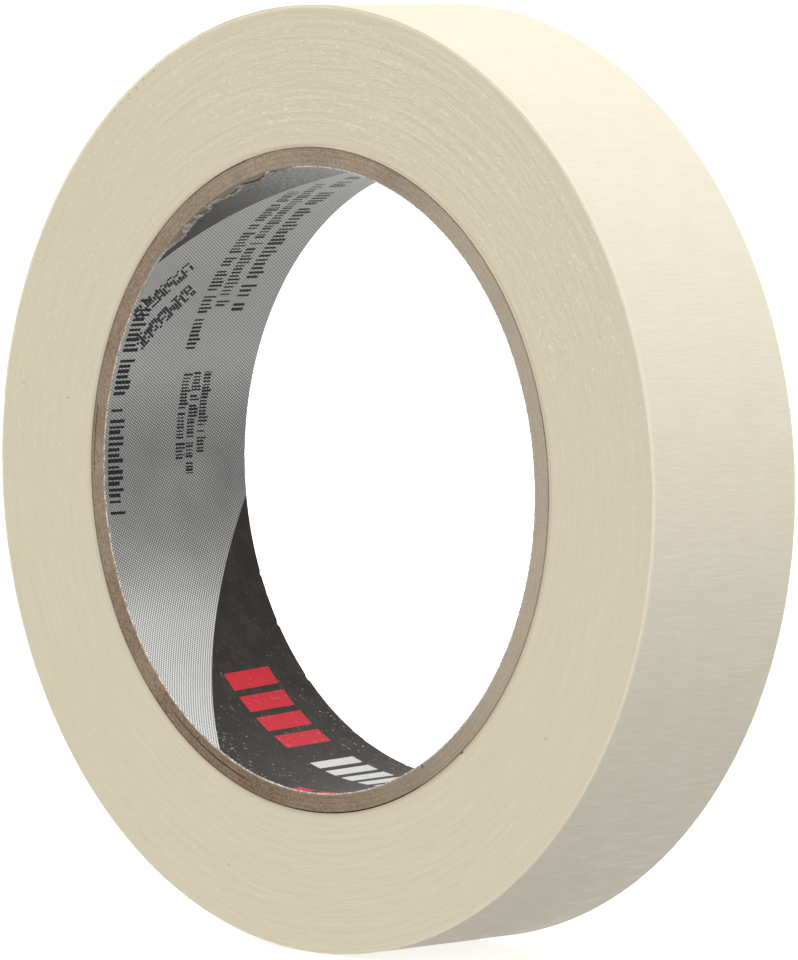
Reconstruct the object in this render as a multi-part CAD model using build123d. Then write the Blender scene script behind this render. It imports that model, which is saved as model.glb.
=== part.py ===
from build123d import *

import os
from math import asin, cos, degrees, pi, radians, sin, tan

# Masking tape roll, standing on its edge. The roll's axis lies along Y with the origin at the middle
# of the bore, X is to the right and Z is up. Angles are counted from +X towards +Z, in degrees, and
# the tape is wound outwards the same way. All lengths are in millimetres.

# Driving dimensions.
TAPE_WIDTH = 24.0
BORE_RADIUS = 38.1
ROLL_RADIUS = 57.8

# The core: a printed liner inside four plies of board, given from the bore outwards.
LINER_THICKNESS = 0.14
PLY_THICKNESSES = (0.50, 0.65, 0.65, 0.50)
LINER_SEAM_ANGLE = 0.0
PLY_SEAM_ANGLES = (271.0, 209.0, 149.0, 83.0)
SEAM_GAP = 0.35
CORE_STRIP_WIDTH = 127.0

# How far the tool that cuts a seam stands out of the strip on every side.
SEAM_CUT_MARGIN = 1.0

# The tape: creped paper backing outside, adhesive inside.
BACKING_THICKNESS = 0.095
ADHESIVE_THICKNESS = 0.025
LAP_THICKNESS = BACKING_THICKNESS + ADHESIVE_THICKNESS

# The strip starts on the core beside a small void that the second lap bridges.
STRIP_START_ANGLE = 310.0
START_VOID_LENGTH = 0.6

# The last lap is counted in equal stretches, back from the free end. The tail is the stretches that lift.
FREE_END_ANGLE = 172.0
STRETCHES_IN_A_LAP = 30
TAIL_STRETCHES = 6
STRETCH_ANGLE = 360 / STRETCHES_IN_A_LAP

CORE_OUTER_RADIUS = BORE_RADIUS + LINER_THICKNESS + sum(PLY_THICKNESSES)
WOUND_INNER_RADIUS = CORE_OUTER_RADIUS + LAP_THICKNESS


def polar(radius, angle):
    """A point in the plane of the side faces."""
    return (radius * cos(radians(angle)), radius * sin(radians(angle)))


def lap_radius(angle, depth=0.0):
    """Radius of the last lap's outer side, or of a level some depth below it, at an angle."""
    laps_from_end = (FREE_END_ANGLE - angle) / 360
    return ROLL_RADIUS - LAP_THICKNESS * laps_from_end - depth


def lap_arcs(first_stretch, last_stretch, depth):
    """The spiral between two stretches, as one arc for each stretch, counted from the free end."""
    arcs = []
    for stretch in range(first_stretch, last_stretch):
        start = FREE_END_ANGLE + stretch * STRETCH_ANGLE
        angles = (start, start + STRETCH_ANGLE / 2, start + STRETCH_ANGLE)
        arcs.append(ThreePointArc(*[polar(lap_radius(angle, depth), angle) for angle in angles]))
    return arcs


def as_wide_as_the_tape(outline):
    """A closed outline in the plane of the side faces, given the tape's width."""
    face = make_face(Curve() + outline)
    return extrude(Plane.XZ * face, amount=TAPE_WIDTH / 2, both=True)


def ring(inner_radius, outer_radius):
    section = Circle(outer_radius) - Circle(inner_radius)
    return extrude(Plane.XZ * section, amount=TAPE_WIDTH / 2, both=True)


def tape_stretch(first_stretch, last_stretch, outer_depth, inner_depth):
    """A length of tape between two radial cuts and two depths below the last lap's outer side."""
    outside = lap_arcs(first_stretch, last_stretch, outer_depth)
    inside = lap_arcs(first_stretch, last_stretch, inner_depth)
    ends = [
        Line(outside[0] @ 0, inside[0] @ 0),
        Line(outside[-1] @ 1, inside[-1] @ 1),
    ]
    return as_wide_as_the_tape(outside + inside + ends)


def core_strip(inner_radius, thickness, seam_angle):
    """One strip of the core, wound on a helix: a ring whose edges meet at a slanting butt seam."""
    slant = asin(CORE_STRIP_WIDTH / (2 * pi * inner_radius))
    lead = 2 * pi * inner_radius * tan(slant)
    length = TAPE_WIDTH + 2 * SEAM_CUT_MARGIN
    helix = Helix(pitch=lead, height=length, radius=inner_radius + thickness / 2)
    start = Plane(origin=helix @ 0, x_dir=(1, 0, 0), z_dir=helix % 0)
    seam = sweep(start * Rectangle(thickness + 2 * SEAM_CUT_MARGIN, SEAM_GAP), helix, is_frenet=True)
    # The helix stands on the origin along Z, so it is centred and then laid along Y.
    seam = Rot(90, 0, 0) * Rot(0, 0, seam_angle) * Pos(0, 0, -length / 2) * seam
    return ring(inner_radius, inner_radius + thickness) - seam


def first_lap():
    """The lap stuck to the core: a ring open at the void beside the strip's start."""
    void_angle = degrees(START_VOID_LENGTH / CORE_OUTER_RADIUS)
    angles = (
        STRIP_START_ANGLE,
        STRIP_START_ANGLE + (360 - void_angle) / 2,
        STRIP_START_ANGLE + 360 - void_angle,
    )
    inside = ThreePointArc(*[polar(CORE_OUTER_RADIUS, angle) for angle in angles])
    outside = ThreePointArc(*[polar(WOUND_INNER_RADIUS, angle) for angle in angles])
    ends = [Line(inside @ 0, outside @ 0), Line(inside @ 1, outside @ 1)]
    return as_wide_as_the_tape([inside, outside] + ends)


def wound_laps():
    """The bonded laps: from the first lap out to the underside of the last, where the spiral steps."""
    spiral = lap_arcs(-STRETCHES_IN_A_LAP, 0, LAP_THICKNESS)
    step = Line(spiral[-1] @ 1, spiral[0] @ 0)
    solid = as_wide_as_the_tape(spiral + [step])
    bore = extrude(Plane.XZ * Circle(WOUND_INNER_RADIUS), amount=TAPE_WIDTH / 2, both=True)
    return solid - bore


parts = {}
radius = BORE_RADIUS
parts["core_liner"] = core_strip(radius, LINER_THICKNESS, LINER_SEAM_ANGLE)
radius += LINER_THICKNESS
for number, (thickness, seam_angle) in enumerate(zip(PLY_THICKNESSES, PLY_SEAM_ANGLES), 1):
    parts[f"core_ply_{number}"] = core_strip(radius, thickness, seam_angle)
    radius += thickness

parts["tape_first_lap"] = first_lap()
parts["tape_wound_laps"] = wound_laps()
parts["tape_last_lap"] = tape_stretch(-STRETCHES_IN_A_LAP, -TAIL_STRETCHES, 0, LAP_THICKNESS)
for number in range(TAIL_STRETCHES):
    begin = number - TAIL_STRETCHES
    parts[f"tape_tail_{number + 1}"] = tape_stretch(begin, begin + 1, 0, BACKING_THICKNESS)
    parts[f"tape_tail_adhesive_{number + 1}"] = tape_stretch(
        begin, begin + 1, BACKING_THICKNESS, LAP_THICKNESS
    )

os.makedirs("parts", exist_ok=True)
for name, shape in parts.items():
    export_step(shape, f"parts/{name}.step")
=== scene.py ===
import math

import bpy
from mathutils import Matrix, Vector


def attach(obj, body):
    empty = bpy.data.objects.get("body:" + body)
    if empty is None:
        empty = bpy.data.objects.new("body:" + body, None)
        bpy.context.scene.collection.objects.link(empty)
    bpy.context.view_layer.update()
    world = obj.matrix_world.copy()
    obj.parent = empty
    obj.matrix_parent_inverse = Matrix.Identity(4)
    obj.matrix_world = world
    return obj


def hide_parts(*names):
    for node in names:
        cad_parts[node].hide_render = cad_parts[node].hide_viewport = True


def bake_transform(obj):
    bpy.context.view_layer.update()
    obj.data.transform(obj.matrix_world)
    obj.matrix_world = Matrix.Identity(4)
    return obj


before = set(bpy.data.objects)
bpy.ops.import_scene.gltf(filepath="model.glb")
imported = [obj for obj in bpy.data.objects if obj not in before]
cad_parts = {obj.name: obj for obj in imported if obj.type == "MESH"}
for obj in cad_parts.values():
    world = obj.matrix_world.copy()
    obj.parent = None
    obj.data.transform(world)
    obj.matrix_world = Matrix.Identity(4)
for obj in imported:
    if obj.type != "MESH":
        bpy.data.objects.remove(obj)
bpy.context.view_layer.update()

# ------------------------------------------------------------------------------------------------
# The board plies. The core is wound from four strips of grey-brown board on a slanting path, each
# glued over the one below with its edges butted together. The winder's knife then cuts the tube to
# the tape's width, which mats the fibres of the cut face and opens small splits between the plies.

MM = 0.001
WIDTH = 24 * MM
FRONT = -WIDTH / 2
BORE_RADIUS = 38.1 * MM
LINER_THICKNESS = 0.14 * MM
STRIP_WIDTH = 127 * MM
BUTT_GAP = 0.12 * MM
ALL_ROUND = 2 * math.pi

# Past this, a vertex lies on one of the two cut faces.
CUT_FACE = 0.49 * WIDTH

# The axes of a strip while it lies flat: through it, from side to side, and along it.
THROUGH, ACROSS, ALONG = 0, 1, 2


def deselect_all():
    bpy.ops.object.select_all(action="DESELECT")


def take_up(piece):
    """Makes this piece the only one selected, and the one that operators work on."""
    deselect_all()
    piece.select_set(True)
    bpy.context.view_layer.objects.active = piece


def settle(piece):
    """Leaves the piece's object at the origin, with its place in its mesh."""
    take_up(piece)
    bpy.ops.object.transform_apply(location=True, rotation=True, scale=True)


def pick(piece, kind, wanted):
    """Goes into edit mode with only the vertices, edges or faces selected that are wanted."""
    take_up(piece)
    modes = ("vertices", "edges", "polygons")
    bpy.context.tool_settings.mesh_select_mode = tuple(mode == kind for mode in modes)
    bpy.ops.object.mode_set(mode="EDIT")
    bpy.ops.mesh.select_all(action="DESELECT")
    bpy.ops.object.mode_set(mode="OBJECT")
    for part in getattr(piece.data, kind):
        part.select = wanted(part)
    bpy.ops.object.mode_set(mode="EDIT")


def leave_edit():
    bpy.ops.object.mode_set(mode="OBJECT")


def runs_along(piece, axis):
    """True for an edge of the flat strip that lies along this axis."""
    vertices = piece.data.vertices

    def test(edge):
        way = vertices[edge.vertices[1]].co - vertices[edge.vertices[0]].co
        return abs(way[axis]) > 0.99 * way.length

    return test


def cut_along(piece, axis, *cuts):
    """Divides the edges along an axis, again for each further number of cuts."""
    for number in cuts:
        pick(piece, "edges", runs_along(piece, axis))
        bpy.ops.mesh.subdivide(number_cuts=number)
        leave_edit()


def flat_strip(name, radius, thickness, first_angle, last_angle, rounding=0.0):
    """A strip before it is wound: along Z, the tape's width in Y, and from X = 0 inwards.

    It lies where wind() takes it to the two angles, from +X towards +Z, on a circle of the radius.
    """
    deselect_all()
    bpy.ops.mesh.primitive_cube_add(
        size=1,
        location=(thickness / 2, 0, radius * (math.pi - (first_angle + last_angle) / 2)),
        scale=(thickness, WIDTH, radius * (last_angle - first_angle)),
    )
    strip = bpy.context.object
    strip.name = name
    settle(strip)
    if rounding:
        pick(strip, "edges", runs_along(strip, ALONG))
        bpy.ops.mesh.bevel(offset=rounding, segments=2)
        leave_edit()
    return strip


def apply_modifier(piece, name):
    take_up(piece)
    bpy.ops.object.modifier_apply(modifier=name)


def wind(piece, radius):
    """Bends a flat strip round the bore's axis, so that its X = 0 side comes to the radius."""
    heights = [vertex.co.z for vertex in piece.data.vertices]
    bend = piece.modifiers.new("wind", "SIMPLE_DEFORM")
    bend.deform_method = "BEND"
    bend.deform_axis = "Y"
    bend.angle = (max(heights) - min(heights)) / radius
    apply_modifier(piece, bend.name)
    bpy.ops.transform.translate(value=(-radius, 0, 0))
    settle(piece)


def strip_lead(inner_radius):
    """How far along the tube a strip gets in one turn, when its edges meet without a lap."""
    turn = ALL_ROUND * inner_radius
    return turn * math.tan(math.asin(STRIP_WIDTH / turn))


def slant(piece, inner_radius):
    """Turns the strip's butted edges to the slant at which it was wound on."""
    twist = piece.modifiers.new("slant", "SIMPLE_DEFORM")
    twist.deform_method = "TWIST"
    twist.deform_axis = "Y"
    twist.angle = WIDTH / strip_lead(inner_radius) * ALL_ROUND
    apply_modifier(piece, twist.name)


def weigh(piece, name, rule):
    """A vertex group in which each vertex weighs what the rule gives for its place."""
    group = piece.vertex_groups.new(name=name)
    for vertex in piece.data.vertices:
        weight = rule(vertex.co)
        if weight > 0:
            group.add([vertex.index], min(weight, 1.0), "REPLACE")
    return name


def roughen(piece, grain, depth, way="NORMAL", group="", stretch=(1, 1, 1), rest=0.5,
            contrast=1.0, share=1.0):
    """Moves the surface by a cloudy pattern of this grain, drawn out along the axes by stretch."""
    bpy.ops.object.empty_add(location=(0, 0, 0))
    guide = bpy.context.object
    guide.scale = stretch
    clouds = bpy.data.textures.new("grain", "CLOUDS")
    clouds.noise_scale = grain
    clouds.noise_depth = 2
    clouds.contrast = contrast
    clouds.intensity = share
    clouds.use_clamp = True
    move = piece.modifiers.new("roughen", "DISPLACE")
    move.texture = clouds
    move.texture_coords = "OBJECT"
    move.texture_coords_object = guide
    move.direction = way
    move.vertex_group = group
    move.strength = depth
    move.mid_level = rest
    bpy.context.view_layer.update()
    apply_modifier(piece, move.name)
    bpy.data.objects.remove(guide)
    bpy.data.textures.remove(clouds)


def bump_between(value, start, end, fade):
    """1 between start and end, falling to 0 over the fade outside them."""
    rise = (value - start) / fade + 1
    fall = (end - value) / fade + 1
    return max(0.0, min(1.0, rise, fall))


class Signal:
    """One output of a material's nodes. Arithmetic on signals adds the Math nodes for it."""

    def __init__(self, tree, socket=None):
        self.tree = tree
        self.socket = socket

    def node(self, kind, settings, sockets, output=0):
        """A node of this type: its settings first, and then its sockets' values or links."""
        node = self.tree.nodes.new(kind)
        for name, value in settings.items():
            setattr(node, name, value)
        for name, value in sockets.items():
            if isinstance(value, Signal):
                self.tree.links.new(value.socket, node.inputs[name])
            else:
                node.inputs[name].default_value = value
        return Signal(self.tree, node.outputs[output])

    def maths(self, operation, *others):
        values = dict(enumerate((self, *others)))
        return self.node("ShaderNodeMath", {"operation": operation}, values)

    def into(self, shader, socket):
        self.tree.links.new(self.socket, shader.inputs[socket])

    def __add__(self, other):
        return self.maths("ADD", other)

    def __sub__(self, other):
        return self.maths("SUBTRACT", other)

    def __rsub__(self, other):
        return self * -1 + other

    def __mul__(self, other):
        return self.maths("MULTIPLY", other)

    def __truediv__(self, other):
        return self.maths("DIVIDE", other)

    def __gt__(self, other):
        return self.maths("GREATER_THAN", other)

    def __lt__(self, other):
        return self.maths("LESS_THAN", other)

    __radd__ = __add__
    __rmul__ = __mul__


def new_finish(name, roughness, gloss):
    """A material, its shader, and the object coordinates in millimetres as three signals."""
    finish = bpy.data.materials.new(name)
    finish.use_nodes = True
    tree = finish.node_tree
    shader = tree.nodes["Principled BSDF"]
    shader.inputs["Roughness"].default_value = roughness
    shader.inputs["Specular IOR Level"].default_value = gloss
    place = Signal(tree).node("ShaderNodeTexCoord", {}, {}, "Object")
    axes = [place.node("ShaderNodeSeparateXYZ", {}, {0: place}, axis) / MM for axis in "XYZ"]
    return finish, shader, axes


def from_bore_axis(x, z):
    """The distance from the bore's axis."""
    return (x * x + z * z).maths("SQRT")


def noise(across, up, along, scale, detail=2.0, roughness=0.5):
    """Noise from three signals, which stretch it by how fast each one grows."""
    place = across.node("ShaderNodeCombineXYZ", {}, {0: across, 1: up, 2: along})
    sockets = {"Vector": place, "Scale": scale, "Detail": detail, "Roughness": roughness}
    return place.node("ShaderNodeTexNoise", {}, sockets, "Fac")


def between(signal, low, high):
    """0 at low and below, 1 at high and above, and smooth between them."""
    settings = {"interpolation_type": "SMOOTHSTEP"}
    sockets = {"Value": signal, "From Min": low, "From Max": high}
    return signal.node("ShaderNodeMapRange", settings, sockets, "Result")


def blended(amount, first, second):
    """The first colour where the amount is 0, and the second where it is 1."""
    settings = {"data_type": "RGBA"}
    colours = {6: first, 7: second}
    sockets = {0: amount}
    for index, colour in colours.items():
        sockets[index] = colour if isinstance(colour, Signal) else (*colour, 1.0)
    return amount.node("ShaderNodeMix", settings, sockets, 2)


def raised(height, distance, strength=1.0):
    """The normals of a surface that the height raises by up to this distance."""
    sockets = {"Height": height, "Distance": distance, "Strength": strength}
    return height.node("ShaderNodeBump", {}, sockets)


def board_finish():
    """Grey-brown recycled board: matted fibres, drawn out round the tube, and specks, with painted
    highlight on the upper and right parts, painted shade low down, and a dark line at the tape that
    is partly glue stain and partly painted shade.
    """
    finish, shader, (x, y, z) = new_finish("grey-brown board", 0.9, 0.15)
    radius = from_bore_axis(x, z)
    matted = noise(x, y, z, 2.6, 4.0, 0.62)
    layered = noise(x / radius * 25, radius * 4.5, z / radius * 25, 1.0, 3.0, 0.6)
    broad = noise(x / radius * 8, y * 0.5, z / radius * 8, 0.6, 2.0)
    tone = matted * 0.6 + layered * 0.25 + broad * 0.35
    colour = blended(between(tone, 0.4, 0.82), (0.172, 0.116, 0.075), (0.42, 0.322, 0.222))
    # Painted highlight: paler on the upper part, the right side and the far left edge of the board.
    painted_highlight_top = between(z / radius, 0.3, 1.0) * 0.35
    painted_highlight = between(x / radius, -0.1, 0.8).maths("MAXIMUM", painted_highlight_top)
    painted_highlight = painted_highlight.maths("MAXIMUM", between(x / radius, -0.85, -1.0) * 0.2)
    colour = blended(painted_highlight * 0.62, colour, (0.60, 0.53, 0.42))
    # Painted shade: darker towards the bottom of the board.
    painted_shade_low = between(z / radius, -0.4, -0.95)
    colour = blended(painted_shade_low * 0.25, colour, (0.13, 0.085, 0.055))
    pale = between(noise(x, y, z, 4.5, 3.0, 0.8), 0.64, 0.70)
    colour = blended(pale * 0.6, colour, (0.68, 0.62, 0.52))
    bore_side = between(radius, 38.30, 38.26)
    colour = blended(bore_side * 0.6, colour, (0.52, 0.43, 0.34))
    # Partly glue stain and partly painted shade of the gap: a dark, patchy line along the outside
    # of the core, where the tape meets it.
    patchy = between(noise(x, y, z, 0.7, 4.0, 0.7), 0.40, 0.58)
    glue_stain_and_gap_shade = between(radius - patchy * 0.12, 40.14, 40.46)
    colour = blended(glue_stain_and_gap_shade * (patchy * 0.4 + 0.42), colour, (0.085, 0.052, 0.030))
    dark = between(noise(x, y, z, 4.2, 2.0, 0.5), 0.70, 0.76)
    colour = blended(dark * 0.65, colour, (0.05, 0.035, 0.025))
    colour.into(shader, "Base Color")
    raised(matted * 0.6 + layered * 0.6, 0.07 * MM, 0.8).into(shader, "Normal")
    return finish


def wear(piece, *finishes):
    """Gives the piece its finishes, the first of them all over."""
    for finish in finishes:
        piece.data.materials.append(finish)


def smooth(piece, sharpest):
    """Shades the piece smooth, except over edges sharper than this, in degrees."""
    take_up(piece)
    bpy.ops.object.shade_smooth_by_angle(angle=math.radians(sharpest))


board = board_finish()
PLY_THICKNESSES = (0.50 * MM, 0.65 * MM, 0.65 * MM, 0.50 * MM)
PLY_SEAMS = (271, 209, 149, 83)
PLY_SPLITS = ((), ((232, 250),), ((172, 179),), ((266, 296), (109, 122), (8, 14)))
ROUNDING = 0.015 * MM


def on_cut_face(co):
    return 1 if abs(co.y) > CUT_FACE else 0


ply_radius = BORE_RADIUS + LINER_THICKNESS
for number, (thickness, seam, splits) in enumerate(zip(PLY_THICKNESSES, PLY_SEAMS, PLY_SPLITS), 1):
    inner = ply_radius
    ply_radius += thickness
    lean = math.acos(STRIP_WIDTH / (ALL_ROUND * inner))
    half_gap = BUTT_GAP / math.cos(lean) / 2 / inner
    begin = math.radians(seam) + half_gap
    ply = flat_strip(f"board_ply_{number}", ply_radius, thickness, begin,
                     begin + ALL_ROUND - 2 * half_gap, ROUNDING)
    cut_along(ply, ALONG, 47, 14)
    cut_along(ply, THROUGH, 2)
    cut_along(ply, ACROSS, 15)

    def at_split(co):
        """The outer rim of the ply's front face, where the next ply has come away from it."""
        turned = WIDTH / 2 / strip_lead(inner) * 360
        turn = (math.degrees(math.pi - co.z / ply_radius) + turned) % 360
        if co.y > -CUT_FACE or co.x > 0.06 * MM:
            return 0
        return max((bump_between(turn, first, last, 3) for first, last in splits), default=0)

    weigh(ply, "cut faces", on_cut_face)
    weigh(ply, "splits", at_split)
    roughen(ply, 0.5 * MM, 0.05 * MM, way="Y", group="cut faces")
    roughen(ply, 0.9 * MM, 0.9 * MM, way="Y", group="splits", rest=0.0, contrast=1.6)
    roughen(ply, 0.9 * MM, 0.22 * MM, way="X", group="splits", rest=0.0, contrast=1.6)
    wind(ply, ply_radius)
    slant(ply, inner)
    smooth(ply, 50)
    wear(ply, board)
    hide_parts(f"core_ply_{number}")
    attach(ply, "roll")

# ------------------------------------------------------------------------------------------------
# The printed liner. It is a single strip of coated paper, printed in near-black and halftone silver
# with red marks, wound as the innermost ply. The knife tears its front edge back in places and
# leaves white fibres there.

liner_lean = math.acos(STRIP_WIDTH / (ALL_ROUND * BORE_RADIUS))
liner_gap = BUTT_GAP / math.cos(liner_lean) / 2 / BORE_RADIUS
liner = flat_strip("printed_liner", BORE_RADIUS + LINER_THICKNESS, LINER_THICKNESS,
                   liner_gap, ALL_ROUND - liner_gap)
cut_along(liner, ALONG, 59, 15)
cut_along(liner, ACROSS, 31)
wind(liner, BORE_RADIUS + LINER_THICKNESS)
slant(liner, BORE_RADIUS)


def angle_of(co):
    """The angle of a place on the wound liner, from +X towards +Z, 0 to 360 degrees."""
    return math.degrees(math.atan2(co.z, co.x)) % 360


from_edge = liner.data.attributes.new("from_front_edge", "FLOAT", "POINT")
from_edge.data.foreach_set("value", [(v.co.y - FRONT) / MM for v in liner.data.vertices])


def torn(co):
    """How far the front edge is torn back, fading out towards the middle of the strip."""
    reach = 1 - (co.y - FRONT) / (6 * MM)
    return reach * bump_between(angle_of(co), 104, 128, 9) if reach > 0 else 0


def chipped(co):
    """Small chips along the front edge, low on the left of the bore."""
    reach = 1 - (co.y - FRONT) / (1.5 * MM)
    return reach * bump_between(angle_of(co), 190, 262, 30) if reach > 0 else 0


def chipped_behind(co):
    """Smaller chips along the back edge, below the ones in front."""
    reach = 1 - (-FRONT - co.y) / (1.5 * MM)
    return reach * bump_between(angle_of(co), 200, 262, 40) if reach > 0 else 0


weigh(liner, "torn", torn)
roughen(liner, 2.6 * MM, 2.6 * MM, way="Y", group="torn", rest=0.0, contrast=3.0)
roughen(liner, 0.45 * MM, 0.35 * MM, way="Y", group="torn", rest=0.0, contrast=2.0)
weigh(liner, "chipped", chipped)
roughen(liner, 0.7 * MM, 0.45 * MM, way="Y", group="chipped", rest=0.0, contrast=3.0, share=0.3)
weigh(liner, "chipped behind", chipped_behind)
roughen(liner, 1.4 * MM, -0.4 * MM, way="Y", group="chipped behind", rest=0.0, contrast=3.0,
        share=0.2)


def round_the_bore(x, z):
    """The angle from +X towards +Z, 0 to 360 degrees."""
    return (z * -1).maths("ARCTAN2", x * -1) * (180 / math.pi) + 180


def print_finish():
    """The liner's print: halftone silver beside near-black, with marks, bars, dust and lint, and
    painted shade, light and sheen.
    """
    finish, shader, (x, y, z) = new_finish("printed paper liner", 0.5, 0.17)
    angle = round_the_bore(x, z)
    length_of_degree = math.pi / 180 * BORE_RADIUS / MM
    along = angle * length_of_degree

    # Two slanting edges part the silver from the near-black.
    left = (angle + (y + 11.1) / 0.435) < 136.25
    right = (angle + (y + 11.6) / 0.422) > 243.1
    black_ground = left.maths("MAXIMUM", right)

    # The silver is a halftone screen of grey dots on paper white, larger where painted shade
    # darkens it and smaller where painted light lightens it.
    def screen(turn, pitch):
        first = (along * math.cos(turn) + y * math.sin(turn)) * (ALL_ROUND / pitch)
        second = (y * math.cos(turn) - along * math.sin(turn)) * (ALL_ROUND / pitch)
        return first.maths("SINE") * second.maths("SINE") * 0.5 + 0.5

    # Painted shade: a dark cloud in the silver on the left of the bore. Painted light: the silver
    # lightens towards the top of the bore.
    painted_shade_cloud = noise(x, y, z, 0.09, 2.0)
    painted_shade_and_light = between(angle, 158, 180) * between(angle, 213, 190) * (painted_shade_cloud * 0.45 + 0.1)
    painted_shade_and_light = painted_shade_and_light + between(angle, 150, 120) * -0.11 + between(angle, 126, 100) * -0.18
    dots = between(screen(math.radians(12), 0.46) - painted_shade_and_light, 0.40, 0.56)
    silver = blended(dots, (0.198, 0.205, 0.200), (0.80, 0.805, 0.79))

    # Rows of plain upright bars, of random widths and heights, stand where the small print goes.
    def chance(cell, seed):
        settings = {"noise_dimensions": "1D"}
        return cell.node("ShaderNodeTexWhiteNoise", settings, {"W": cell + seed}, "Value")

    def small_bars(first, last, middle, height, pitch, shift):
        place = along / pitch + shift
        cell = place.maths("FLOOR") + 7.9 * middle
        upright = place.maths("FRACT") > chance(cell, 57.3) * 0.40 + 0.22
        tall = chance(cell, 0) > 0.7
        top = tall * (0.24 * height) + (middle + 0.26 * height)
        inside = (angle > first) * (angle < last) * (y > middle - 0.5 * height) * (y < top)
        return upright * inside * (chance(cell, 80.9) > 0.1)

    bold = small_bars(146.5, 189.7, -10.1, 2.5, 0.72, 0.1)
    for row in (
        (107.5, 150.3, 6.2, 2.6, 0.72, 0.4),
        (111.6, 149.1, 2.9, 2.1, 0.57, 0.3),
        (115.0, 158.4, 0.3, 2.1, 0.57, 0.7),
        (162.8, 180.0, 0.85, 1.6, 0.43, 0.2),
        (162.8, 182.5, 2.6, 1.6, 0.43, 0.5),
        (162.8, 178.75, 4.4, 1.6, 0.43, 0.9),
    ):
        bold = bold.maths("MAXIMUM", small_bars(*row))

    # A jet-printed batch stamp: two slanting rows of random dots.
    def stamp(first_angle, first_y, turn, length, height, seed):
        start = first_angle * length_of_degree
        ahead = (along - start) * math.cos(turn) + (y - first_y) * math.sin(turn)
        aside = (y - first_y) * math.cos(turn) - (along - start) * math.sin(turn)
        pitch = 0.40
        row, column = ahead / pitch, aside / pitch
        cell = row.node("ShaderNodeCombineXYZ", {}, {
            0: row.maths("FLOOR"), 1: column.maths("FLOOR"), 2: seed})
        printed = cell.node("ShaderNodeTexWhiteNoise", {}, {"Vector": cell}, "Value") > 0.40
        dx, dy = row.maths("FRACT") - 0.5, column.maths("FRACT") - 0.5
        dot = (dx * dx + dy * dy) < 0.27
        inside = (ahead > 0) * (ahead < length) * (aside.maths("ABSOLUTE") < height / 2)
        return inside * dot * printed

    stamp_turn = math.radians(-35)
    stamped = stamp(138.8, -5.6, stamp_turn, 9.6, 2.4, 3.0).maths(
        "MAXIMUM", stamp(144.4, -3.4, stamp_turn, 10.0, 2.4, 8.0))

    # The marks: red bars, and halftone bars beside them, which come again further round the liner.
    slanted = along + y * 0.08

    def row_of_bars(first_angle, low, high, width, gap, count):
        start = first_angle * length_of_degree
        part = (slanted - start) / (width + gap)
        bar = (part > 0) * (part < count) * (part.maths("FRACT") < width / (width + gap))
        return bar * (y > low) * (y < high)

    wide, narrow = (2.8, 1.1, 4), (1.9, 1.0, 6)
    red = row_of_bars(223.3, -1.3, 6.7, *wide)
    for first_angle, low, high in ((262.7, -18.0, -10.2), (318.0, -1.3, 6.7)):
        red = red.maths("MAXIMUM", row_of_bars(first_angle, low, high, *wide))
    bars = row_of_bars(251.6, -1.3, 6.6, *narrow)
    bars = bars.maths("MAXIMUM", row_of_bars(346.3, -1.3, 6.6, *narrow))

    smudge = noise(x, y, z, 0.35, 4.0, 0.6)
    full_ink, thin_ink = (0.021, 0.016, 0.012), (0.038, 0.033, 0.027)
    near_black = blended(between(smudge, 0.35, 0.75), full_ink, thin_ink)
    # Painted sheen: pale patches on the near-black at the top of the bore.
    painted_sheen = between(angle, 122, 104) * between(angle, 60, 84)
    painted_sheen = painted_sheen * between(noise(x, y, z, 2.6, 3.0, 0.8), 0.44, 0.60)
    near_black = blended(painted_sheen * 0.85, near_black, (0.42, 0.42, 0.39))
    colour = blended(black_ground, silver, near_black)
    colour = blended(bars, colour, blended(dots, (0.50, 0.50, 0.49), (0.86, 0.86, 0.85)))
    colour = blended(red, colour, (0.60, 0.018, 0.035))
    colour = blended(bold, colour, (0.012, 0.012, 0.012))
    colour = blended(stamped, colour, (0.010, 0.010, 0.012))

    # Dust from the knife lies on the print, and its torn edge shows white fibres.
    dust = between(noise(x, y, z, 1.5, 4.0, 0.85), 0.615, 0.66)
    rims = between((y - 1).maths("ABSOLUTE"), 5, 12)
    lying = between(angle, 208, 245)
    colour = blended(dust * (lying * (rims * 0.75 + 0.25) + 0.06), colour, (0.80, 0.79, 0.75))
    edge = y.node("ShaderNodeAttribute", {"attribute_name": "from_front_edge"}, {}, "Fac")
    ragged = noise(x, y, z, 1.1, 4.0, 0.8)
    at_tear = between(angle, 88, 100) * between(angle, 140, 128)
    fibres = (edge - ragged * (at_tear * 0.9 + 0.26) + 0.05 + at_tear * 0.1) < 0.03
    brown_lint, white_lint = (0.42, 0.35, 0.27), (0.80, 0.78, 0.74)
    lint = blended(between(noise(x, y, z, 3.3, 2.0), 0.42, 0.56), brown_lint, white_lint)
    colour = blended(fibres * 0.9, colour, lint)
    colour.into(shader, "Base Color")

    sheen = black_ground * -0.12 + 0.52 + smudge * 0.12 + fibres * 0.3
    sheen.into(shader, "Roughness")
    raised(noise(x, y, z, 1.3, 4.0, 0.6) + fibres * 1.5, 0.03 * MM, 0.5).into(shader, "Normal")
    return finish


wear(liner, print_finish())
smooth(liner, 40)
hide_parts("core_liner")
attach(liner, "roll")

# ------------------------------------------------------------------------------------------------
# The first lap of tape. It is stuck straight onto the core, and the next lap bridges the small void
# that is left beside its start.

CORE_RADIUS = 40.54 * MM
LAP_THICKNESS = 0.12 * MM
START_ANGLE = math.radians(310)
VOID_ANGLE = 0.6 * MM / CORE_RADIUS


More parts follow.
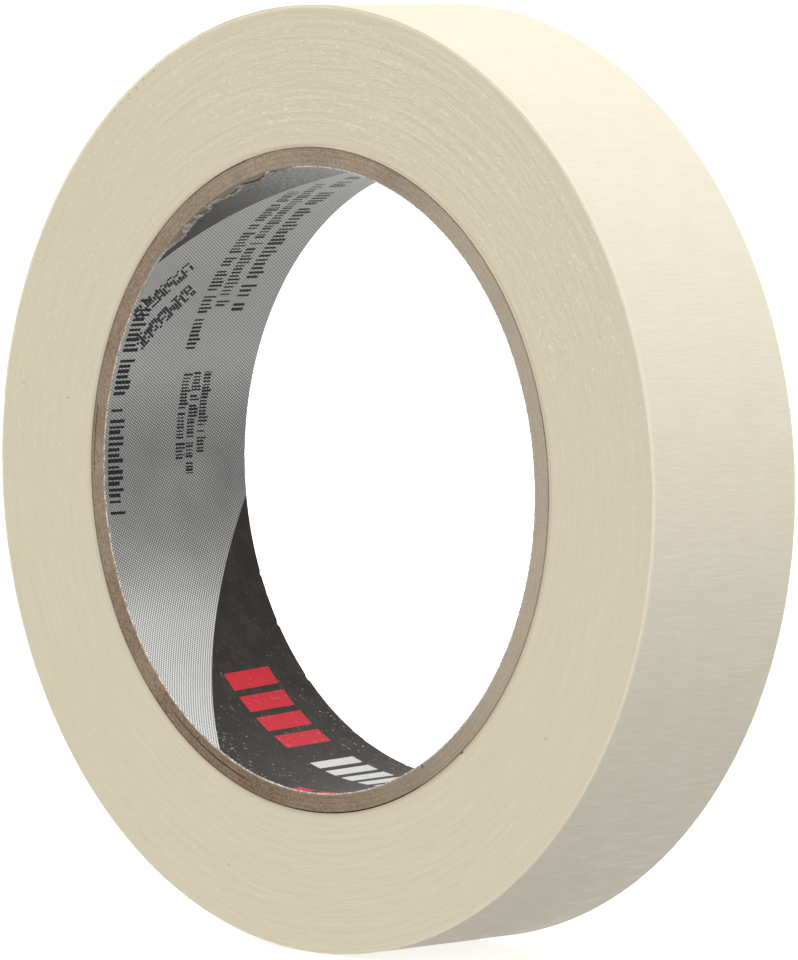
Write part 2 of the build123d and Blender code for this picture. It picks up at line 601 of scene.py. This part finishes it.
def slit_edge_finish():
    """The tape's slit edges, lap on lap: cream, with faint rings, painted glints and a painted
    highlight along the outer rim.
    """
    finish, shader, (x, y, z) = new_finish("slit tape edges", 0.75, 0.25)
    radius = from_bore_axis(x, z)
    unit_x, unit_z = x / radius, z / radius
    rings = noise(unit_x * 5, radius * 1.9, unit_z * 5, 1.0, 3.0, 0.65)
    laps = noise(unit_x * 16, radius * 6.5, unit_z * 16, 1.0, 2.0, 0.6)
    grain = noise(x, y, z, 4.5, 3.0, 0.6)
    upper = between(z / radius, -0.55, 0.65)

    # The knife leaves broken ridges that wander across the laps, which are paler. Painted glints,
    # as small dots and short dashes, are brighter on the upper part.
    wander = radius + noise(x, y, z, 0.13, 2.0) * 5 + noise(x, y, z, 0.55, 2.0) * 0.5
    ridges = noise(unit_x * 42, wander * 4.6, unit_z * 42, 1.0, 3.0, 0.6)
    sector = between(x / radius, -0.75, -0.1) * between(z / radius, -0.15, 0.5)
    sector = sector * between(radius, 57.3, 54.5) * between(radius, 40.8, 43.0)
    sector = sector.maths("MAXIMUM", between(z / radius, -0.45, -0.85) * 0.2)
    ridged = between(ridges, 0.58, 0.64) * (sector * 0.9 + 0.1)
    painted_glints = between(noise(x, y, z, 3.6, 1.0), 0.70, 0.74) * (upper * 0.8 + 0.2)
    painted_glint_dashes = between(noise(unit_x * 90, wander * 4.4, unit_z * 90, 1.0, 1.0), 0.685, 0.75)
    pale_ridges_and_painted_glints = (ridged * 0.6).maths("MAXIMUM", painted_glint_dashes * (upper * 0.5 + 0.35))
    tone = rings * 0.5 + laps * 0.25 + grain * 0.4
    colour = blended(between(tone, 0.3, 0.85), (0.715, 0.640, 0.476), (0.782, 0.706, 0.540))
    colour = blended(pale_ridges_and_painted_glints * 0.8, colour, (0.92, 0.88, 0.76))
    colour = blended(painted_glints, colour, (1.0, 0.99, 0.92))

    # A painted highlight runs raggedly along the outermost laps, stronger on the upper part, and
    # the laps on the core are dark with squeezed glue.
    ragged_radius = radius + noise(x, y, z, 0.6, 3.0, 0.7) * 0.35
    painted_rim_highlight = between(ragged_radius, 57.46, 57.68) * (between(z / radius, -0.7, 0.2) * 0.45 + 0.35)
    colour = blended(painted_rim_highlight, colour, (0.97, 0.88, 0.69))
    tacky = between(radius, 41.3, 40.55)
    colour = blended(tacky * 0.35, colour, (0.42, 0.33, 0.21))

    # Small dark spots, with a row of nicks near the rim.
    for spot_angle, spot_radius, size in (
        (169.6, 45.7, 0.13), (169.6, 54.2, 0.11), (252.5, 50.6, 0.12), (324.5, 49.1, 0.12),
        (120.2, 57.2, 0.11), (122.3, 57.2, 0.11), (122.5, 56.8, 0.10), (124.0, 57.0, 0.12),
        (125.6, 57.1, 0.12), (125.8, 56.7, 0.11), (127.6, 57.2, 0.10), (129.0, 57.2, 0.10),
    ):
        turn = math.radians(spot_angle)
        dx, dz = x - spot_radius * math.cos(turn), z - spot_radius * math.sin(turn)
        spot = between((dx * dx + dz * dz).maths("SQRT"), size * 1.5, size * 0.5)
        colour = blended(spot * 0.6, colour, (0.22, 0.17, 0.12))
    colour.into(shader, "Base Color")
    height = rings * 0.5 + laps * 0.45 + grain * 0.25 + ridges * (sector * 0.9 + 0.2)
    raised(height, 0.07 * MM, 0.6).into(shader, "Normal")
    return finish


def crepe_finish():
    """The tape's back: creped, saturated paper, with fine wrinkles from side to side, and a painted
    highlight along both edges.
    """
    finish, shader, (x, y, z) = new_finish("creped paper", 0.5, 0.4)
    wrinkles = noise(x * 2.2, y * 0.28, z * 2.2, 1.0, 4.0, 0.65)
    mottle = noise(x, y, z, 0.22, 3.0, 0.6)
    fibres = noise(x * 3.0, y * 3.0, z * 3.0, 1.0, 2.0, 0.6)
    tone = wrinkles * 0.45 + mottle * 0.55 + fibres * 0.2
    colour = blended(between(tone, 0.35, 0.85), (0.742, 0.688, 0.545), (0.778, 0.730, 0.588))
    # Painted highlight: a pale line along both edges of the back, where the edges catch the light.
    painted_rim_highlight = between(y.maths("ABSOLUTE"), 11.62, 11.86)
    colour = blended(painted_rim_highlight * 0.55, colour, (0.93, 0.84, 0.66))
    colour.into(shader, "Base Color")
    crests = between(wrinkles, 0.50, 0.66)
    (crests * -0.27 + 0.60).into(shader, "Roughness")
    raised(wrinkles * 0.9 + fibres * 0.25, 0.10 * MM, 0.6).into(shader, "Normal")
    return finish


def wear_tape(piece):
    """The creped paper finish all over, and the slit edge finish on the two cut sides."""
    wear(piece, crepe, slit_edge)
    pick(piece, "polygons", lambda face: abs(face.normal.y) > 0.75)
    piece.active_material_index = 1
    bpy.ops.object.material_slot_assign()
    leave_edit()
    smooth(piece, 40)


crepe = crepe_finish()
slit_edge = slit_edge_finish()

first_lap = flat_strip("first_lap", CORE_RADIUS + LAP_THICKNESS, LAP_THICKNESS,
                       START_ANGLE, START_ANGLE + ALL_ROUND - VOID_ANGLE)
cut_along(first_lap, ALONG, 47, 11)
wind(first_lap, CORE_RADIUS + LAP_THICKNESS)
wear_tape(first_lap)
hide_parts("tape_first_lap")
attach(first_lap, "roll")

# ------------------------------------------------------------------------------------------------
# The wound laps. About a hundred and forty laps of the one strip lie bonded on each other. Each lap
# tracks a little to one side or the other, which leaves faint rings on both faces of the roll.

ROLL_RADIUS = 57.8 * MM
FREE_END = math.radians(172)
WOUND_RADIUS = ROLL_RADIUS - LAP_THICKNESS
WOUND_DEPTH = WOUND_RADIUS - CORE_RADIUS - LAP_THICKNESS
JOIN_ANGLE = math.radians(0.5)
WOUND_START = FREE_END - ALL_ROUND + JOIN_ANGLE


def along_strip(angle, radius):
    """How far along the flat strip an angle on the wound roll lies."""
    return radius * (math.pi - angle)


def follow_spiral(piece, radius, wanted):
    """Tilts the picked side of a flat strip, to gain one lap's thickness in a full turn."""
    pick(piece, "vertices", wanted)
    bpy.ops.transform.rotate(
        value=-math.atan(LAP_THICKNESS / (ALL_ROUND * radius)),
        orient_axis="Y",
        center_override=(0, 0, along_strip(FREE_END, radius)),
    )
    leave_edit()


wound = flat_strip("wound_laps", WOUND_RADIUS, WOUND_DEPTH,
                   WOUND_START, FREE_END, 0.05 * MM)
follow_spiral(wound, WOUND_RADIUS, lambda vertex: vertex.co.x < 0.2 * MM)
cut_along(wound, ALONG, 47, 7)
cut_along(wound, THROUGH, 83)
cut_along(wound, ACROSS, 3)


def relief(co):
    """The rings stand out most on the roll's upper right, and fade at the strip's two ends."""
    turn = math.degrees(math.pi - co.z / WOUND_RADIUS)
    if abs(co.y) < 0.499 * WIDTH:
        return 0
    ends = bump_between(turn, -180, 164, 8)
    upper = bump_between(turn, 35, 105, 35)
    lower = bump_between(turn, -95, -60, 25) * 0.4
    return ends * (0.25 + 0.75 * max(upper, lower))


weigh(wound, "rings", relief)
roughen(wound, 0.42 * MM, 0.09 * MM, group="rings", stretch=(1, 1, 40), rest=1.0)
roughen(wound, 0.16 * MM, 0.04 * MM, group="rings", stretch=(1, 1, 12), rest=1.0)

# The strip's two ends are joined across the small step that the last lap covers.
ends = [along_strip(angle, WOUND_RADIUS) for angle in (WOUND_START, FREE_END)]
pick(wound, "polygons", lambda face: min(abs(face.center.z - end) for end in ends) < 0.02 * MM)
bpy.ops.mesh.delete(type="FACE")
leave_edit()
wind(wound, WOUND_RADIUS)
pick(wound, "edges", lambda edge: False)
bpy.ops.mesh.select_non_manifold()
bpy.ops.mesh.bridge_edge_loops()
bpy.ops.mesh.select_all(action="SELECT")
bpy.ops.mesh.normals_make_consistent(inside=False)
leave_edit()

wear_tape(wound)
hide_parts("tape_wound_laps")
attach(wound, "roll")

# ------------------------------------------------------------------------------------------------
# The last lap and the tail. The outer end of the strip goes once round the roll. Most of it stays
# stuck down. The tail is the free end, which peels from a line near the top of the roll. Here it
# lies on the roll in lengths that meet at joints, each of them a backing and its adhesive.

BACKING_THICKNESS = 0.095 * MM
ADHESIVE_THICKNESS = 0.025 * MM
STRETCH = math.radians(12)
TAIL_STRETCHES = 6
PEEL_ANGLE = FREE_END - TAIL_STRETCHES * STRETCH
PEEL_BEND = math.radians(2.4)


def creped_sheet():
    """The outer end of the strip, laid flat, creped across, with both slit edges a little wavy."""
    length = ALL_ROUND * ROLL_RADIUS
    spare = 1 * MM
    deselect_all()
    bpy.ops.mesh.primitive_grid_add(
        x_subdivisions=1100,
        y_subdivisions=20,
        size=1,
        location=(0, 0, along_strip(FREE_END, ROLL_RADIUS) + length / 2),
        rotation=(0, -math.pi / 2, 0),
    )
    sheet = bpy.context.object
    sheet.name = "creped_sheet"
    sheet.scale = (length + 2 * spare, WIDTH, 1)
    settle(sheet)
    roughen(sheet, 0.55 * MM, 0.028 * MM, stretch=(1, 9, 1), rest=1.0)
    weigh(sheet, "front edge", lambda co: co.y < -CUT_FACE)
    weigh(sheet, "back edge", lambda co: co.y > CUT_FACE)
    roughen(sheet, 1.3 * MM, 0.10 * MM, way="Y", group="front edge", rest=0.0)
    roughen(sheet, 1.3 * MM, -0.10 * MM, way="Y", group="back edge", rest=0.0)
    return sheet


def length_of_tape(sheet, name, first_angle, last_angle, depth, thickness):
    """A piece of the sheet between two angles, at a depth below its face, wound onto the roll."""
    take_up(sheet)
    bpy.ops.object.duplicate()
    piece = bpy.context.object
    piece.name = name
    thicken = piece.modifiers.new("thicken", "SOLIDIFY")
    thicken.thickness = thickness
    thicken.offset = -1
    apply_modifier(piece, thicken.name)
    bpy.ops.transform.translate(value=(depth, 0, 0))
    settle(piece)
    for angle, lower_side in ((last_angle, True), (first_angle, False)):
        height = along_strip(angle, ROLL_RADIUS)
        pick(piece, "vertices", lambda vertex: True)
        bpy.ops.mesh.bisect(
            plane_co=(0, 0, height),
            plane_no=(0, 0, 1),
            use_fill=True,
            clear_inner=lower_side,
            clear_outer=not lower_side,
        )
        leave_edit()
    follow_spiral(piece, ROLL_RADIUS, lambda vertex: True)
    wind(piece, ROLL_RADIUS)
    return piece


def adhesive_finish():
    """The rubber adhesive coat: a tacky, slightly yellow film over the paper."""
    finish, shader, (x, y, z) = new_finish("rubber adhesive", 0.35, 0.5)
    streaks = noise(x * 0.6, y * 4.0, z * 0.6, 1.0, 3.0, 0.6)
    grain = noise(x, y, z, 3.0, 3.0, 0.6)
    tone = streaks * 0.5 + grain * 0.5
    colour = blended(between(tone, 0.35, 0.7), (0.72, 0.61, 0.40), (0.80, 0.71, 0.50))
    colour.into(shader, "Base Color")
    (grain * 0.25 + 0.28).into(shader, "Roughness")
    raised(streaks * 0.4 + grain * 0.6, 0.02 * MM, 0.6).into(shader, "Normal")
    return finish


sheet = creped_sheet()
last_lap = length_of_tape(sheet, "last_lap", FREE_END - ALL_ROUND, PEEL_ANGLE, 0, LAP_THICKNESS)
wear_tape(last_lap)
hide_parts("tape_last_lap")
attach(last_lap, "roll")

adhesive = adhesive_finish()


def on_roll(angle):
    """A point on the roll's outer side."""
    growth = LAP_THICKNESS * (FREE_END - angle) / ALL_ROUND
    radius = ROLL_RADIUS - growth
    return Vector((radius * math.cos(angle), 0, radius * math.sin(angle)))


for number in range(1, TAIL_STRETCHES + 1):
    # Each length is centred on its hinge, apart from the first, which starts at the peel line, and
    # the last, which runs on to the free end.
    hinge = PEEL_ANGLE + (number - 1) * STRETCH
    begin = hinge if number == 1 else hinge - STRETCH / 2
    stop = FREE_END if number == TAIL_STRETCHES else hinge + STRETCH / 2
    bent = hinge + PEEL_BEND if number == 1 else hinge + STRETCH / 2
    for name, depth, thickness in (
        (f"tail_{number}", 0, BACKING_THICKNESS),
        (f"tail_adhesive_{number}", BACKING_THICKNESS, ADHESIVE_THICKNESS),
    ):
        piece = length_of_tape(sheet, name, begin, stop, depth, thickness)
        if depth:
            wear(piece, adhesive)
            smooth(piece, 40)
        else:
            wear_tape(piece)
        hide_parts(f"tape_{name}")
        on_roll(begin)
        on_roll(bent)
        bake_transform(piece)

bpy.data.objects.remove(sheet)

# ------------------------------------------------------------------------------------------------
# The set: a wide pale floor that the roll stands on, and soft studio light from all round with the
# strongest from above and to the right.

deselect_all()
FLOOR_SIZE = 160
bpy.ops.mesh.primitive_plane_add(size=FLOOR_SIZE, location=(0, 0, -ROLL_RADIUS))
floor = bpy.context.object
floor.name = "floor"
bpy.ops.object.transform_apply(location=True, rotation=True, scale=True)
paper, paper_shader, (floor_x, floor_y, floor_z) = new_finish("pale backdrop paper", 0.9, 0.1)
floor_tone = noise(floor_x, floor_y, floor_z, 0.02, 3.0)
blended(floor_tone, (0.90, 0.90, 0.90), (0.92, 0.92, 0.92)).into(paper_shader, "Base Color")
paper_shader.inputs["Emission Color"].default_value = (1, 1, 1, 1)
paper_shader.inputs["Emission Strength"].default_value = 0.6
wear(floor, paper)
floor.visible_diffuse = False
floor.visible_shadow = False

world = bpy.data.worlds.new("studio")
world.use_nodes = True
bpy.context.scene.world = world
background = world.node_tree.nodes["Background"]
sky = Signal(world.node_tree).node("ShaderNodeTexCoord", {}, {}, "Generated")
up = sky.node("ShaderNodeSeparateXYZ", {}, {0: sky}, "Z")
above, underneath = between(up, -0.1, 0.12), between(up, -0.5, -1.0)
LIGHT_FROM_LOW, MORE_FROM_ABOVE, LESS_FROM_UNDERNEATH = 0.51, 0.48, 0.2
strength = above * MORE_FROM_ABOVE + LIGHT_FROM_LOW - underneath * LESS_FROM_UNDERNEATH
strength.into(background, "Strength")
background.inputs["Color"].default_value = (1, 0.995, 0.985, 1)

deselect_all()
bpy.ops.object.light_add(type="SUN", location=(0.6, 0.2, 1.2))
overhead = bpy.context.object
overhead.name = "overhead softbox"
overhead.data.energy = 1.2
overhead.data.angle = math.radians(40)
overhead.rotation_euler = Vector((0.33, -0.33, 0.95)).to_track_quat("Z", "Y").to_euler()

AZIMUTH = math.radians(46.0486)
ELEVATION = math.radians(3.9422)
DISTANCE = 911.31 * MM
SHIFT_RIGHT = 1.838 * MM
SHIFT_UP = -0.491 * MM
FOCAL_LENGTH = 278.70525
SENSOR_WIDTH = 36

back = Vector((
    math.sin(AZIMUTH) * math.cos(ELEVATION),
    -math.cos(AZIMUTH) * math.cos(ELEVATION),
    math.sin(ELEVATION),
))
right = (-back).cross(Vector((0, 0, 1))).normalized()
upward = right.cross(-back)
deselect_all()
bpy.ops.object.camera_add(location=back * DISTANCE + right * SHIFT_RIGHT + upward * SHIFT_UP)
camera = bpy.context.object
camera.rotation_euler = back.to_track_quat("Z", "Y").to_euler()
camera.data.sensor_width = SENSOR_WIDTH
camera.data.lens = FOCAL_LENGTH
camera.data.clip_start = 0.05
camera.data.clip_end = 400
bpy.context.scene.camera = camera
bpy.context.scene.view_settings.view_transform = "Standard"
